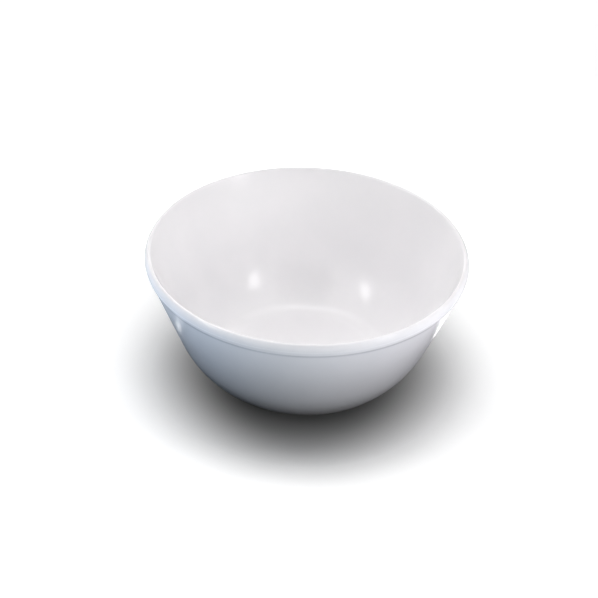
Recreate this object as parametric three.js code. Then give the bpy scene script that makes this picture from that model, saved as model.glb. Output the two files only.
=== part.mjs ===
// A round melamine bowl with a beaded lip and a foot ring, pressed in two charges:
// the filled body, then a clear glaze over the food side.
// Millimetres, +Z up. The origin is the centre of the circle that the foot ring stands on.

import { Group, LatheGeometry, MathUtils, Mesh, MeshStandardMaterial, Vector2 } from 'three';

// Driving dimensions
const RIM_DIAMETER = 130; // outermost circle of the lip
const HEIGHT = 60; // resting plane to the crest of the lip
const WALL = 3; // one thickness for wall, heel and floor, glaze included
const LIP_HEIGHT = 5.5; // crest of the lip to the crease under it
const LIP_OVERHANG = 1.1; // reach of the lip past the wall just under it
const LIP_FACE_RADIUS = 3.9; // bulge of the lip's outer face, seen in section
const CREASE_RADIUS = 0.6; // rounding of the crease under the lip
const FOOT_DIAMETER = 58; // outside of the foot ring at its root
const FOOT_HEIGHT = 3; // resting plane to the underside of the floor
const FOOT_WIDTH = 3.4; // thickness of the foot ring at its root
const FOOT_DRAFT = 6; // degrees by which each side of the foot ring leans in
const FOOT_EDGE_RADIUS = 0.6; // rounding of the two edges of the land
const FOOT_ROOT_RADIUS = 1; // fillets where the foot ring joins the base
const FLOOR_MARGIN = 1.5; // flat floor past the outside of the foot ring
const FLOOR_FILLET = 10; // inside radius between the flat floor and the belly
const BELLY_RADIUS = 42.3; // inside radius of the belly
const BELLY_SLOPE = 39; // degrees of slope where the floor fillet runs into the belly
const GLAZE = 0.3; // thickness of the glaze
const BOND = 0.02; // line between the glaze and the body

// Facets
const SEGMENTS = 64; // around the axis
const FILLET_STEPS = 4;
const BELLY_STEPS = 5;
const CREST_STEPS = 3; // on each side of the crest's top
const FACE_STEPS = 4;
const CORNER_STEPS = 2;

// Finish
const BODY_COLOUR = 0xe9e7e8;
const GLAZE_COLOUR = 0xedebec;
const BODY_ROUGHNESS = 0.28;
const GLAZE_ROUGHNESS = 0.16;

// Section of the bowl: x is the distance from the axis and y the height.
// Each centre below is shared by the food side, the glaze's back, its seat and the outside.
const rimRadius = RIM_DIAMETER / 2;
const footRadius = FOOT_DIAMETER / 2;
const floorTop = FOOT_HEIGHT + WALL;
const floorRadius = footRadius + FLOOR_MARGIN;
const bellySlope = MathUtils.degToRad(BELLY_SLOPE);

const filletCentre = new Vector2(floorRadius, floorTop + FLOOR_FILLET);
const bellyCentre = towards(filletCentre, bellySlope + Math.PI / 2, BELLY_RADIUS - FLOOR_FILLET);

// The straight upper wall leaves the belly on the tangent that ends in the crease under the lip.
const crease = new Vector2(rimRadius - LIP_OVERHANG, HEIGHT - LIP_HEIGHT);
const toCrease = crease.clone().sub(bellyCentre);
const wallLean = Math.acos((BELLY_RADIUS + WALL) / toCrease.length()) - toCrease.angle();

// The face of the lip is one arc that swells from the crease to the outermost circle and on up to the crest.
// The moulding parts at the outermost circle.
const faceRise = Math.sqrt(LIP_FACE_RADIUS ** 2 - (LIP_FACE_RADIUS - LIP_OVERHANG) ** 2);
const faceCentre = new Vector2(rimRadius - LIP_FACE_RADIUS, crease.y + faceRise);
const partingHeight = faceCentre.y;

// The crest is a small round that touches the inside of the wall, the top plane and the face.
// Its centre leaves the corner of wall and plane by crestShift for each unit of its radius.
const innerWall = towards(crease, Math.PI - wallLean, WALL);
const wallTop = new Vector2(innerWall.x + (HEIGHT - innerWall.y) * Math.tan(wallLean), HEIGHT);
const crestShift = new Vector2((1 - Math.sin(wallLean)) / Math.cos(wallLean), -1);
const toWallTop = wallTop.clone().sub(faceCentre);
const reach = LIP_FACE_RADIUS + toWallTop.dot(crestShift);
const room = LIP_FACE_RADIUS ** 2 - toWallTop.lengthSq();
const crestRadius = (Math.sqrt(reach ** 2 + room * crestShift.x ** 2) - reach) / crestShift.x ** 2;
const crestCentre = wallTop.clone().addScaledVector(crestShift, crestRadius);
const crestEnd = crestCentre.clone().sub(faceCentre).angle();

// A point at a distance from another one, in the direction of an angle.
function towards(start, angle, distance) {
  return new Vector2(start.x + distance * Math.cos(angle), start.y + distance * Math.sin(angle));
}

// Points along an arc, both ends included.
function arc(centre, radius, from, to, steps) {
  const step = (to - from) / steps;
  return Array.from({ length: steps + 1 }, (_, i) => towards(centre, from + step * i, radius));
}

// Points that round the corner between two straight sides.
function roundedCorner(before, corner, after, radius) {
  const back = before.clone().sub(corner).normalize();
  const ahead = after.clone().sub(corner).normalize();
  const halfAngle = Math.acos(back.dot(ahead)) / 2;
  const middle = back.clone().add(ahead).normalize();
  const centre = corner.clone().addScaledVector(middle, radius / Math.sin(halfAngle));
  const start = corner.clone().addScaledVector(back, radius / Math.tan(halfAngle)).sub(centre);
  const end = corner.clone().addScaledVector(ahead, radius / Math.tan(halfAngle)).sub(centre);
  const turn = Math.atan2(start.cross(end), start.dot(end));
  return arc(centre, radius, start.angle(), start.angle() + turn, CORNER_STEPS);
}

// Floor, floor fillet and belly, at a depth below the food side.
function floorAndBelly(depth) {
  const handOver = bellySlope - Math.PI / 2;
  const fillet = arc(filletCentre, FLOOR_FILLET + depth, -Math.PI / 2, handOver, FILLET_STEPS);
  const belly = arc(bellyCentre, BELLY_RADIUS + depth, handOver, -wallLean, BELLY_STEPS);
  return [...fillet, ...belly.slice(1)];
}

// The whole food side from the middle of the floor to the parting line, at a depth below its surface.
function foodSide(depth) {
  const middle = new Vector2(0, floorTop - depth);
  const rise = arc(crestCentre, crestRadius - depth, Math.PI - wallLean, Math.PI / 2, CREST_STEPS);
  const fall = arc(crestCentre, crestRadius - depth, Math.PI / 2, crestEnd, CREST_STEPS);
  const face = arc(faceCentre, LIP_FACE_RADIUS - depth, crestEnd, 0, FACE_STEPS);
  return [middle, ...floorAndBelly(depth), ...rise, ...fall.slice(1), ...face.slice(1)];
}

// The underside from its middle to the heel: the recess, the foot ring with its flat land, and the base.
function underside() {
  const lean = FOOT_HEIGHT * Math.tan(MathUtils.degToRad(FOOT_DRAFT));
  const middle = new Vector2(0, FOOT_HEIGHT);
  const innerRoot = new Vector2(footRadius - FOOT_WIDTH, FOOT_HEIGHT);
  const innerEdge = new Vector2(innerRoot.x + lean, 0);
  const outerEdge = new Vector2(footRadius - lean, 0);
  const outerRoot = new Vector2(footRadius, FOOT_HEIGHT);
  const heel = new Vector2(floorRadius, FOOT_HEIGHT);
  return [
    middle,
    ...roundedCorner(middle, innerRoot, innerEdge, FOOT_ROOT_RADIUS),
    ...roundedCorner(innerRoot, innerEdge, outerEdge, FOOT_EDGE_RADIUS),
    ...roundedCorner(innerEdge, outerEdge, outerRoot, FOOT_EDGE_RADIUS),
    ...roundedCorner(outerEdge, outerRoot, heel, FOOT_ROOT_RADIUS),
  ];
}

// The lower half of the lip's face, from the crease up to the step that the glaze's edge lies on.
function lip(wallBelow) {
  const start = -Math.asin(faceRise / LIP_FACE_RADIUS);
  const end = -Math.asin(BOND / LIP_FACE_RADIUS);
  const face = arc(faceCentre, LIP_FACE_RADIUS, start, end, FACE_STEPS);
  return [
    ...roundedCorner(wallBelow, crease, face[1], CREASE_RADIUS),
    ...face.slice(1),
    new Vector2(rimRadius - GLAZE - BOND, partingHeight - BOND),
  ];
}

function bodySection() {
  const outside = floorAndBelly(WALL);
  return [...underside(), ...outside, ...lip(outside.at(-1)), ...foodSide(GLAZE + BOND).reverse()];
}

function glazeSection() {
  return [...foodSide(GLAZE), ...foodSide(0).reverse()];
}

// Turns a section about the bowl's axis.
function turned(name, section, color, roughness) {
  const geometry = new LatheGeometry(section, SEGMENTS);
  const mesh = new Mesh(geometry, new MeshStandardMaterial({ color, roughness, metalness: 0 }));
  mesh.name = name;
  mesh.rotation.x = Math.PI / 2;
  return mesh;
}

const bowl = new Group();
bowl.add(turned('bowl_body', bodySection(), BODY_COLOUR, BODY_ROUGHNESS));
bowl.add(turned('inner_glaze', glazeSection(), GLAZE_COLOUR, GLAZE_ROUGHNESS));

export default bowl;
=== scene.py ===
"""A white melamine bowl on a pale studio floor, dressed around its CAD frame. Metres, +Z up."""

import math

import bpy
from mathutils import Matrix, Vector


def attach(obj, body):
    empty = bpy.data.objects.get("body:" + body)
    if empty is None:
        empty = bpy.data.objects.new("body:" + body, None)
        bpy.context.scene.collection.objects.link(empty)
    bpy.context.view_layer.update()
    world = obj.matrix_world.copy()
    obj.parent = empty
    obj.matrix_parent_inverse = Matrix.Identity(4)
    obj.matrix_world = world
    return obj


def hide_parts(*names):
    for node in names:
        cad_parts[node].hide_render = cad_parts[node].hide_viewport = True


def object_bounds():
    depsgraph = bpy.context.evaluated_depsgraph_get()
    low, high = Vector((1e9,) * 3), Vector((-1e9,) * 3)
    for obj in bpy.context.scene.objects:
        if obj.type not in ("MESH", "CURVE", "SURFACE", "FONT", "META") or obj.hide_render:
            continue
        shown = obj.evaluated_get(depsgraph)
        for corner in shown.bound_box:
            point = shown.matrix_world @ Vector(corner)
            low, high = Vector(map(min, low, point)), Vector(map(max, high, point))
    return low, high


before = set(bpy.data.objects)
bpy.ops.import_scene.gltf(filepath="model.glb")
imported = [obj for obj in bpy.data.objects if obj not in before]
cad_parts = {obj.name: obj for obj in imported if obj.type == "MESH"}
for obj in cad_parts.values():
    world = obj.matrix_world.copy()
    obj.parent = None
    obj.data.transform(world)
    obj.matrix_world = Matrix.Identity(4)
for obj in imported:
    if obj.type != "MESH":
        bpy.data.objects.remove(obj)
cad_low, cad_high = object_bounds()

MM = 0.001

# Bowl sizes, as in the CAD section
RIM_RADIUS = (cad_high.x - cad_low.x) / 2
HEIGHT = cad_high.z
WALL = 3 * MM
LIP_HEIGHT = 5.5 * MM
LIP_OVERHANG = 1.1 * MM
LIP_FACE_RADIUS = 3.9 * MM
CREASE_RADIUS = 0.6 * MM
FOOT_RADIUS = 29 * MM
FOOT_HEIGHT = 3 * MM
FOOT_WIDTH = 3.4 * MM
FOOT_DRAFT = math.radians(6)
FOOT_EDGE_RADIUS = 0.6 * MM
FOOT_ROOT_RADIUS = 1 * MM
FLOOR_MARGIN = 1.5 * MM
FLOOR_FILLET = 10 * MM
BELLY_RADIUS = 42.3 * MM
BELLY_SLOPE = math.radians(39)
GLAZE = 0.3 * MM
BOND = 0.02 * MM

# Fineness of the turned meshes
SEGMENTS = 192
ARC_STEP = math.radians(3)
CORNER_STEP = math.radians(12)
RING_SPACING = 3 * MM
SHARP_ANGLE = math.radians(40)

# Camera, fitted to the rim, the crease under the lip and the lower outline
IMAGE_PIXELS = 598
SENSOR = 36
FOCAL_PIXELS = 1620.6
CAMERA_DISTANCE = 0.65
CAMERA_ELEVATION = math.radians(33.73)
CAMERA_ROLL = math.radians(2.226)
RIM_CENTRE_PIXEL = (306.69, 251.24)
RIM_CENTRE_HEIGHT = 58.7 * MM


# Section of the bowl: x is the distance from the axis and y the height

def towards(start, angle, distance):
    """A point at a distance from another one, in the direction of an angle."""
    return start + distance * Vector((math.cos(angle), math.sin(angle)))


def arc(centre, radius, start, end, step=ARC_STEP):
    """Points along an arc, both ends included."""
    count = math.ceil(abs(end - start) / step)
    return [towards(centre, start + (end - start) * i / count, radius) for i in range(count + 1)]


def rounded_corner(before, corner, after, radius):
    """Points that round the corner between two straight sides."""
    back = (before - corner).normalized()
    ahead = (after - corner).normalized()
    half_angle = back.angle(ahead) / 2
    centre = corner + (back + ahead).normalized() * radius / math.sin(half_angle)
    start = corner + back * radius / math.tan(half_angle) - centre
    end = corner + ahead * radius / math.tan(half_angle) - centre
    first = math.atan2(start.y, start.x)
    turn = math.atan2(start.cross(end), start.dot(end))
    return arc(centre, radius, first, first + turn, CORNER_STEP)


floor_top = FOOT_HEIGHT + WALL
floor_radius = FOOT_RADIUS + FLOOR_MARGIN
fillet_centre = Vector((floor_radius, floor_top + FLOOR_FILLET))
belly_centre = towards(fillet_centre, BELLY_SLOPE + math.pi / 2, BELLY_RADIUS - FLOOR_FILLET)

# The outside of the wall runs straight to the crease, on a tangent to the belly
crease = Vector((RIM_RADIUS - LIP_OVERHANG, HEIGHT - LIP_HEIGHT))
to_crease = crease - belly_centre
wall_lean = math.acos((BELLY_RADIUS + WALL) / to_crease.length) - math.atan2(to_crease.y, to_crease.x)

face_rise = math.sqrt(LIP_FACE_RADIUS ** 2 - (LIP_FACE_RADIUS - LIP_OVERHANG) ** 2)
face_centre = Vector((RIM_RADIUS - LIP_FACE_RADIUS, crease.y + face_rise))
parting_height = face_centre.y

# The round of the crest touches the inner wall's line, the top and, from within, the lip face's circle
inner_wall = towards(crease, math.pi - wall_lean, WALL)
wall_top = Vector((inner_wall.x + (HEIGHT - inner_wall.y) * math.tan(wall_lean), HEIGHT))
crest_shift = Vector(((1 - math.sin(wall_lean)) / math.cos(wall_lean), -1))
to_wall_top = wall_top - face_centre
reach = LIP_FACE_RADIUS + to_wall_top.dot(crest_shift)
room = LIP_FACE_RADIUS ** 2 - to_wall_top.length_squared
crest_radius = (math.sqrt(reach ** 2 + room * crest_shift.x ** 2) - reach) / crest_shift.x ** 2
crest_centre = wall_top + crest_shift * crest_radius
to_crest = crest_centre - face_centre
crest_end = math.atan2(to_crest.y, to_crest.x)


def floor_and_belly(depth):
    """Floor fillet and belly, at a depth below the food side."""
    hand_over = BELLY_SLOPE - math.pi / 2
    fillet = arc(fillet_centre, FLOOR_FILLET + depth, -math.pi / 2, hand_over)
    belly = arc(belly_centre, BELLY_RADIUS + depth, hand_over, -wall_lean)
    return fillet + belly[1:]


def food_side(depth):
    """From the middle of the floor to the parting line, at a depth below the food side."""
    rise = arc(crest_centre, crest_radius - depth, math.pi - wall_lean, math.pi / 2, CORNER_STEP)
    fall = arc(crest_centre, crest_radius - depth, math.pi / 2, crest_end, CORNER_STEP)
    face = arc(face_centre, LIP_FACE_RADIUS - depth, crest_end, 0)
    return [Vector((0, floor_top - depth))] + floor_and_belly(depth) + rise + fall[1:] + face[1:]


def underside():
    """From the middle of the recess over the foot ring to the base outside it."""
    lean = FOOT_HEIGHT * math.tan(FOOT_DRAFT)
    middle = Vector((0, FOOT_HEIGHT))
    inner_root = Vector((FOOT_RADIUS - FOOT_WIDTH, FOOT_HEIGHT))
    inner_edge = Vector((inner_root.x + lean, 0))
    outer_edge = Vector((FOOT_RADIUS - lean, 0))
    outer_root = Vector((FOOT_RADIUS, FOOT_HEIGHT))
    heel = Vector((floor_radius, FOOT_HEIGHT))
    points = [middle]
    points += rounded_corner(middle, inner_root, inner_edge, FOOT_ROOT_RADIUS)
    points += rounded_corner(inner_root, inner_edge, outer_edge, FOOT_EDGE_RADIUS)
    points += rounded_corner(inner_edge, outer_edge, outer_root, FOOT_EDGE_RADIUS)
    points += rounded_corner(outer_edge, outer_root, heel, FOOT_ROOT_RADIUS)
    return points


def lip(wall_below):
    """The lower half of the lip's face, from the crease up to the step that the glaze's edge lies on."""
    start = -math.asin(face_rise / LIP_FACE_RADIUS)
    end = -math.asin(BOND / LIP_FACE_RADIUS)
    face = arc(face_centre, LIP_FACE_RADIUS, start, end)
    points = rounded_corner(wall_below, crease, face[1], CREASE_RADIUS)
    return points + face[1:] + [Vector((RIM_RADIUS - GLAZE - BOND, parting_height - BOND))]


def body_section():
    outside = floor_and_belly(WALL)
    seat = food_side(GLAZE + BOND)
    return underside() + outside + lip(outside[-1]) + seat[::-1]


def glaze_section():
    return food_side(GLAZE) + food_side(0)[::-1]


# Turned meshes

def with_rings(section):
    """The section with its long straight stretches divided, so that shading stays even."""
    points = [section[0]]
    for a, b in zip(section, section[1:]):
        count = max(1, math.ceil((b - a).length / RING_SPACING))
        points += [a.lerp(b, (i + 1) / count) for i in range(count)]
    return points


def turned(name, section, material, node):
    """A closed mesh: a section that starts and ends on the axis, turned about +Z, in place of a CAD node."""
    points = with_rings(section)
    rings = points[1:-1]
    angles = [2 * math.pi * i / SEGMENTS for i in range(SEGMENTS)]
    vertices = [(p.x * math.cos(a), p.x * math.sin(a), p.y) for p in rings for a in angles]
    first_pole = len(vertices)
    last_pole = first_pole + 1
    vertices += [(0, 0, points[0].y), (0, 0, points[-1].y)]
    last_ring = (len(rings) - 1) * SEGMENTS
    faces = []
    for i in range(SEGMENTS):
        j = (i + 1) % SEGMENTS
        faces.append((first_pole, j, i))
        for ring in range(0, last_ring, SEGMENTS):
            faces.append((ring + i, ring + j, ring + SEGMENTS + j, ring + SEGMENTS + i))
        faces.append((last_ring + i, last_ring + j, last_pole))
    mesh = bpy.data.meshes.new(name)
    mesh.from_pydata(vertices, [], faces)
    mesh.polygons.foreach_set("use_smooth", [True] * len(mesh.polygons))
    mesh.set_sharp_from_angle(angle=SHARP_ANGLE)
    mesh.materials.append(material)
    piece = bpy.data.objects.new(name, mesh)
    bpy.context.scene.collection.objects.link(piece)
    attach(piece, "root")
    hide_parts(node)


# Materials

class Nodes:
    """A short way to add and join the nodes of a material or world."""

    def __init__(self, owner):
        owner.use_nodes = True
        self.tree = owner.node_tree
        self.tree.nodes.clear()

    def add(self, kind, inputs=(), **settings):
        node = self.tree.nodes.new(kind)
        for key, value in settings.items():
            setattr(node, key, value)
        for key, value in dict(inputs).items():
            if isinstance(value, bpy.types.NodeSocket):
                self.tree.links.new(value, node.inputs[key])
            else:
                node.inputs[key].default_value = value
        return node

    def math(self, operation, *values):
        return self.add("ShaderNodeMath", dict(enumerate(values)), operation=operation).outputs[0]

    def noise(self, where, scale, detail=2):
        inputs = {"Vector": where, "Scale": scale, "Detail": detail}
        return self.add("ShaderNodeTexNoise", inputs).outputs["Fac"]

    def remap(self, value, low, high, to_low, to_high):
        inputs = {"Value": value, "From Min": low, "From Max": high, "To Min": to_low, "To Max": to_high}
        return self.add("ShaderNodeMapRange", inputs, interpolation_type="SMOOTHSTEP").outputs["Result"]

    def mix(self, factor, a, b):
        node = self.add("ShaderNodeMix", data_type="RGBA")
        for socket, value in zip((node.inputs[0], node.inputs[6], node.inputs[7]), (factor, a, b)):
            if isinstance(value, bpy.types.NodeSocket):
                self.tree.links.new(value, socket)
            else:
                socket.default_value = value
        return node.outputs[2]


WHITE = (0.885, 0.872, 0.888, 1)
WHITE_DEEP = (0.868, 0.858, 0.874, 1)
SPECK = (0.52, 0.50, 0.47, 1)
SCUFF = (0.60, 0.60, 0.61, 1)
# The next colour is the grey of a painted shade along the crease under the lip
CREASE_SHADE = (0.45, 0.46, 0.49, 1)
MELAMINE_IOR = 1.6
BODY_ROUGHNESS = 0.24
GLAZE_ROUGHNESS = 0.17

# Detail of the surface: a SCALE counts features in a metre, and each fade runs from START to END
# A RANGE is the span of noise that is used, and SPECK_SIZE is a speck's radius as a share of a cell
FINE_DETAIL = 4
CLOUD_SCALE = 55
CLOUD_DETAIL = 3
CLOUD_RANGE = (0.35, 0.65)
SPECK_SCALE = 420
SPECK_SIZE = 0.045
SPECK_CHANCE = 0.035
SPECK_STRENGTH = 0.4
TRIM_START = 0.15 * MM
TRIM_END = 0.4 * MM
TRIM_ROUGHNESS = 0.14
# Painted shade along the crease under the lip
CREASE_SHADE_START = 0.2 * MM
CREASE_SHADE_END = 1 * MM
CREASE_SHADE_STRENGTH = 0.35
LAND_START = 0.05 * MM
LAND_END = 0.3 * MM
SCRATCH_SCALE = 900
SCRATCH_RANGE = (0.45, 0.6)
SCRATCH_LEAST = 0.3
SCUFF_STRENGTH = 0.5
SCUFF_ROUGHNESS = 0.3
GLOSS_SCALE = 140
GLOSS_RANGE = (0.3, 0.7)
GLOSS_DOWN = 0.02
GLOSS_UP = 0.03
WAVE_SCALE = 330
WAVE_HEIGHT = 0.006 * MM


def melamine(name, roughness, outside):
    """Pressed melamine: faint clouding, sparse specks, a slight waviness and a worn land.

    Outside is 1 for the body, with a matt line where the lip was trimmed and painted shade darkening the
    crease under the lip.
    It is 0 for the glaze, which has neither.
    """
    material = bpy.data.materials.new(name)
    n = Nodes(material)
    where = n.add("ShaderNodeTexCoord").outputs["Object"]
    height = n.add("ShaderNodeSeparateXYZ", {0: where}).outputs["Z"]

    cloud = n.remap(n.noise(where, CLOUD_SCALE, CLOUD_DETAIL), *CLOUD_RANGE, 0, 1)
    colour = n.mix(cloud, WHITE_DEEP, WHITE)
    cells = n.add("ShaderNodeTexVoronoi", {"Vector": where, "Scale": SPECK_SCALE})
    in_speck = n.math("LESS_THAN", cells.outputs["Distance"], SPECK_SIZE)
    cell_value = n.add("ShaderNodeSeparateColor", {0: cells.outputs["Color"]}).outputs["Red"]
    speck = n.math("MULTIPLY", in_speck, n.math("GREATER_THAN", cell_value, 1 - SPECK_CHANCE))
    colour = n.mix(n.math("MULTIPLY", speck, SPECK_STRENGTH), colour, SPECK)

    from_parting = n.math("ABSOLUTE", n.math("SUBTRACT", height, parting_height))
    trimmed = n.remap(from_parting, TRIM_START, TRIM_END, outside, 0)
    # Painted shade: the body's colour is darkened along the crease under the lip, where shade falls
    from_crease = n.math("ABSOLUTE", n.math("SUBTRACT", height, crease.y))
    crease_shade = n.remap(from_crease, CREASE_SHADE_START, CREASE_SHADE_END, CREASE_SHADE_STRENGTH * outside, 0)
    colour = n.mix(crease_shade, colour, CREASE_SHADE)
    land = n.remap(height, LAND_START, LAND_END, 1, 0)
    scratch = n.remap(n.noise(where, SCRATCH_SCALE, FINE_DETAIL), *SCRATCH_RANGE, SCRATCH_LEAST, 1)
    worn = n.math("MULTIPLY", land, scratch)
    colour = n.mix(n.math("MULTIPLY", worn, SCUFF_STRENGTH), colour, SCUFF)

    patches = n.noise(where, GLOSS_SCALE, FINE_DETAIL)
    gloss = n.remap(patches, *GLOSS_RANGE, roughness - GLOSS_DOWN, roughness + GLOSS_UP)
    gloss = n.math("MULTIPLY_ADD", trimmed, TRIM_ROUGHNESS, gloss)
    gloss = n.math("MULTIPLY_ADD", worn, SCUFF_ROUGHNESS, gloss)

    waves = n.noise(where, WAVE_SCALE)
    bump = n.add("ShaderNodeBump", {"Height": waves, "Strength": 1, "Distance": WAVE_HEIGHT})

    shader = n.add(
        "ShaderNodeBsdfPrincipled",
        {"Base Color": colour, "Roughness": gloss, "IOR": MELAMINE_IOR, "Normal": bump.outputs[0]},
    )
    n.add("ShaderNodeOutputMaterial", {"Surface": shader.outputs[0]})
    return material


# Stage: floor, world, lamps and camera

# The floor's fades run from START to END, at these distances from the bowl's axis
FLOOR_RADIUS = 4
FLOOR_SIDES = 96
FLOOR_DROP = 0.02 * MM
FLOOR_SEEN = (0.95, 0.95, 0.95, 1)
# A painted shadow: the floor's colour near the bowl, reached between the next two distances
FLOOR_PAINTED_SHADOW = (0.2, 0.2, 0.2, 1)
PAINTED_SHADOW_START = 30 * MM
PAINTED_SHADOW_END = 80 * MM
FLOOR_BOUNCE = (0.62, 0.74, 0.84, 1)
BOUNCE_START = 160 * MM
BOUNCE_END = 220 * MM
MIRROR_START = 50 * MM
MIRROR_END = 150 * MM
NEAR_LIFT = 0.5
NEAR_LIFT_START = 25 * MM
NEAR_LIFT_END = 105 * MM
FAR_LIFT = 0.75
FAR_LIFT_START = 300 * MM
FAR_LIFT_END = 1200 * MM
UNDER_GLOW = 0.42
UNDER_GLOW_START = 20 * MM
UNDER_GLOW_END = FOOT_RADIUS + FLOOR_MARGIN

# The room's light and looks: in reflections it is dark round a point above the camera
BLACK = (0, 0, 0, 1)
ROOM_LIGHT = (0.05, 0.056, 0.065, 1)
ROOM_SEEN = (1, 1, 1, 1)
DIM_FRONT_ELEVATION = math.radians(42)
DIM_FRONT_START = math.radians(30)
DIM_FRONT_FULL = math.radians(20)

# Lamps: the distance of the soft boxes from the rim, the heights of the cards, and colours
BOX_DISTANCE = 1.1
CARD_HEIGHT = 8 * MM
GLINT_HEIGHT = 1 * MM
WARM = (1, 0.99, 0.98)
PALE = (0.97, 0.95, 1)
COOL = (0.88, 0.95, 1)
BLUE = (0.62, 0.77, 0.98)

rim_centre = Vector((0, 0, RIM_CENTRE_HEIGHT))


def seen_rays(n, mirrored=1):
    """1 where the camera looks, directly or through something clear, and 0 for stray light.

    In a reflection it is the value given as mirrored.
    """
    path = n.add("ShaderNodeLightPath").outputs
    seen = n.math("MAXIMUM", path["Is Camera Ray"], path["Is Transmission Ray"])
    return n.math("MAXIMUM", seen, n.math("MULTIPLY", path["Is Glossy Ray"], mirrored))


def floor_material():
    """A pale floor that keeps the shadow, fades to white with distance and can be looked through from below.

    Near the bowl its colour is painted darker, a painted shadow that adds to the cast one, and it glows a
    little under the foot.
    It throws light up, and shows in reflections, only from farther out.
    """
    material = bpy.data.materials.new("studio_floor")
    n = Nodes(material)
    where = n.add("ShaderNodeTexCoord").outputs["Object"]
    distance = n.add("ShaderNodeVectorMath", {0: where}, operation="LENGTH").outputs["Value"]
    seen = seen_rays(n, n.remap(distance, MIRROR_START, MIRROR_END, 0, 1))
    # Painted shadow: the floor's colour darkens towards the bowl, on top of the shadow the lamps cast
    shown = n.mix(n.remap(distance, PAINTED_SHADOW_START, PAINTED_SHADOW_END, 0, 1), FLOOR_PAINTED_SHADOW, FLOOR_SEEN)
    bounce = n.mix(n.remap(distance, BOUNCE_START, BOUNCE_END, 0, 1), BLACK, FLOOR_BOUNCE)
    surface = n.add("ShaderNodeBsdfDiffuse", {"Color": n.mix(seen, bounce, shown)})

    near_lift = n.remap(distance, NEAR_LIFT_START, NEAR_LIFT_END, 0, NEAR_LIFT)
    far_lift = n.remap(distance, FAR_LIFT_START, FAR_LIFT_END, 0, FAR_LIFT)
    glow = n.remap(distance, UNDER_GLOW_START, UNDER_GLOW_END, UNDER_GLOW, 0)
    strength = n.math("MULTIPLY_ADD", seen, n.math("ADD", near_lift, far_lift), glow)
    light = n.add("ShaderNodeEmission", {"Strength": strength})
    top = n.add("ShaderNodeAddShader", {0: surface.outputs[0], 1: light.outputs[0]})

    clear = n.add("ShaderNodeBsdfTransparent")
    from_below = n.add("ShaderNodeNewGeometry").outputs["Backfacing"]
    both = n.add("ShaderNodeMixShader", {0: from_below, 1: top.outputs[0], 2: clear.outputs[0]})
    n.add("ShaderNodeOutputMaterial", {"Surface": both.outputs[0]})
    return material


def make_floor():
    place = (0, 0, -FLOOR_DROP)
    bpy.ops.mesh.primitive_circle_add(
        vertices=FLOOR_SIDES, radius=FLOOR_RADIUS, fill_type="NGON", location=place
    )
    floor = bpy.context.object
    floor.name = "studio_floor"
    floor.data.materials.append(floor_material())


def make_world():
    """A white room that adds little light of its own. Reflections show it dark on the camera's side."""
    world = bpy.data.worlds.new("studio")
    bpy.context.scene.world = world
    n = Nodes(world)
    where = n.add("ShaderNodeTexCoord").outputs["Generated"]
    front = (0, -math.cos(DIM_FRONT_ELEVATION), math.sin(DIM_FRONT_ELEVATION))
    facing = n.add("ShaderNodeVectorMath", {0: where, 1: front}, operation="DOT_PRODUCT").outputs["Value"]
    dim = n.remap(facing, math.cos(DIM_FRONT_START), math.cos(DIM_FRONT_FULL), 0, 1)
    mirrored = n.add("ShaderNodeLightPath").outputs["Is Glossy Ray"]
    room = n.mix(n.math("MULTIPLY", mirrored, dim), ROOM_SEEN, BLACK)
    light = n.add("ShaderNodeBackground", {"Color": n.mix(seen_rays(n), ROOM_LIGHT, room)})
    n.add("ShaderNodeOutputWorld", {"Surface": light.outputs[0]})


def lamp(name, place, facing, width, height, watts, colour, tilt=0, highlight=False):
    """An area lamp at a place.

    A highlight lamp only shows in reflections, and any other lamp only elsewhere.
    """
    light = bpy.data.lights.new(name, "AREA")
    light.shape = "RECTANGLE"
    light.size = width
    light.size_y = height
    light.energy = watts
    light.color = colour
    panel = bpy.data.objects.new(name, light)
    panel.location = place
    turn = facing.to_track_quat("-Z", "Y").to_matrix() @ Matrix.Rotation(math.radians(tilt), 3, "Z")
    panel.rotation_euler = turn.to_euler()
    panel.visible_camera = False
    panel.visible_diffuse = not highlight
    panel.visible_glossy = highlight
    bpy.context.scene.collection.objects.link(panel)


def soft_box(name, azimuth, elevation, width, height, watts, distance=BOX_DISTANCE, **settings):
    """A lamp that faces the bowl. Degrees; the azimuth is 0 on the camera's side and grows to the right."""
    across = math.radians(azimuth)
    up = math.radians(elevation)
    away = Vector((math.sin(across) * math.cos(up), -math.cos(across) * math.cos(up), math.sin(up)))
    lamp(name, rim_centre + away * distance, -away, width, height, watts, WARM, **settings)


def card(name, x, y, width, length, watts, colour, height=CARD_HEIGHT, **settings):
    """A bright card that lies just above the floor and faces up."""
    lamp(name, Vector((x, y, height)), Vector((0, 0, 1)), width, length, watts, colour, **settings)


def glint(name, x, y, width, length, watts):
    """A small card beside the bowl that shows only in its gloss."""
    card(name, x, y, width, length, watts, WARM, height=GLINT_HEIGHT, highlight=True)


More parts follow.
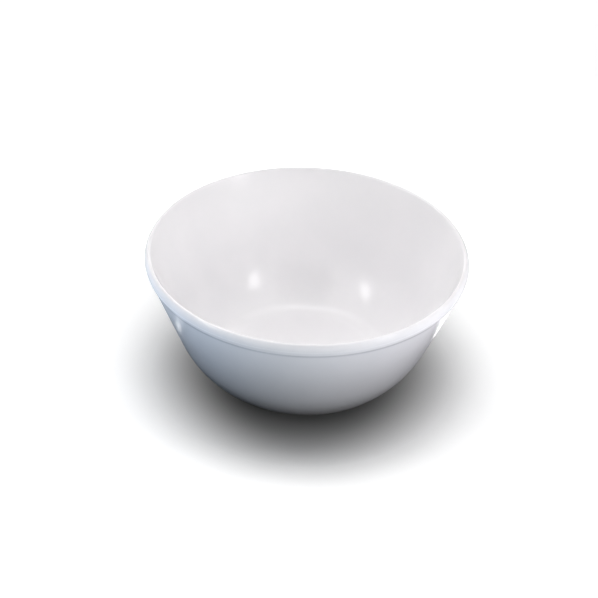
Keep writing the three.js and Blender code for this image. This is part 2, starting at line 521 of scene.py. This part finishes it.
def make_camera():
    """The photograph's view: raised, a little rolled, with the rim's centre on its own pixel."""
    camera = bpy.data.cameras.new("camera")
    camera.sensor_width = SENSOR
    camera.lens = FOCAL_PIXELS * SENSOR / IMAGE_PIXELS
    right = Vector((1, 0, 0))
    up = Vector((0, math.sin(CAMERA_ELEVATION), math.cos(CAMERA_ELEVATION)))
    back = Vector((0, -math.cos(CAMERA_ELEVATION), math.sin(CAMERA_ELEVATION)))
    level = Matrix((right, up, back)).transposed()
    roll = Matrix.Rotation(CAMERA_ROLL, 3, "Z")
    middle = (IMAGE_PIXELS - 1) / 2
    across = (RIM_CENTRE_PIXEL[0] - middle) / FOCAL_PIXELS
    down = (RIM_CENTRE_PIXEL[1] - middle) / FOCAL_PIXELS
    aim = Vector((0, 0, -1)).rotation_difference(Vector((across, -down, -1))).to_matrix()
    turn = level @ roll @ aim.transposed()
    view = bpy.data.objects.new("camera", camera)
    view.matrix_world = Matrix.Translation(rim_centre + back * CAMERA_DISTANCE) @ turn.to_4x4()
    bpy.context.scene.collection.objects.link(view)
    bpy.context.scene.camera = view


body_melamine = melamine("melamine_body", BODY_ROUGHNESS, outside=1)
glaze_melamine = melamine("melamine_glaze", GLAZE_ROUGHNESS, outside=0)
turned("bowl_shell", body_section(), body_melamine, "bowl_body")
turned("food_side_glaze", glaze_section(), glaze_melamine, "inner_glaze")

make_floor()
make_world()

soft_box("near_box", azimuth=0, elevation=75, width=0.3, height=0.1, watts=0.45, distance=0.21)
soft_box("key_box", azimuth=45, elevation=14, width=0.8, height=0.3, watts=2.15)
soft_box("left_back_box", azimuth=-135, elevation=32, width=0.8, height=0.7, watts=4.8)
soft_box("right_back_box", azimuth=135, elevation=32, width=0.8, height=0.7, watts=2.3)
card("right_card", x=0.17, y=-0.12, width=0.12, length=0.16, watts=0.42, colour=PALE)
card("front_card", x=0, y=-0.19, width=0.2, length=0.12, watts=0.17, colour=COOL)
card("left_card", x=-0.17, y=-0.1, width=0.12, length=0.18, watts=0.31, colour=BLUE)

soft_box(
    "overhead_strip", azimuth=180, elevation=78.5, width=1.25, height=0.37, watts=2.4, highlight=True
)
soft_box(
    "right_strip", azimuth=55.3, elevation=23.4, width=0.16, height=0.52, watts=1.5, tilt=-24, highlight=True
)
soft_box(
    "left_strip", azimuth=-66.7, elevation=25.9, width=0.16, height=0.47, watts=1.25, tilt=37, highlight=True
)
glint("right_glint", x=0.067, y=0.027, width=0.014, length=0.024, watts=0.004)
glint("left_glint", x=-0.0705, y=0.001, width=0.006, length=0.008, watts=0.0003)

make_camera()
bpy.context.scene.view_settings.view_transform = "Standard"
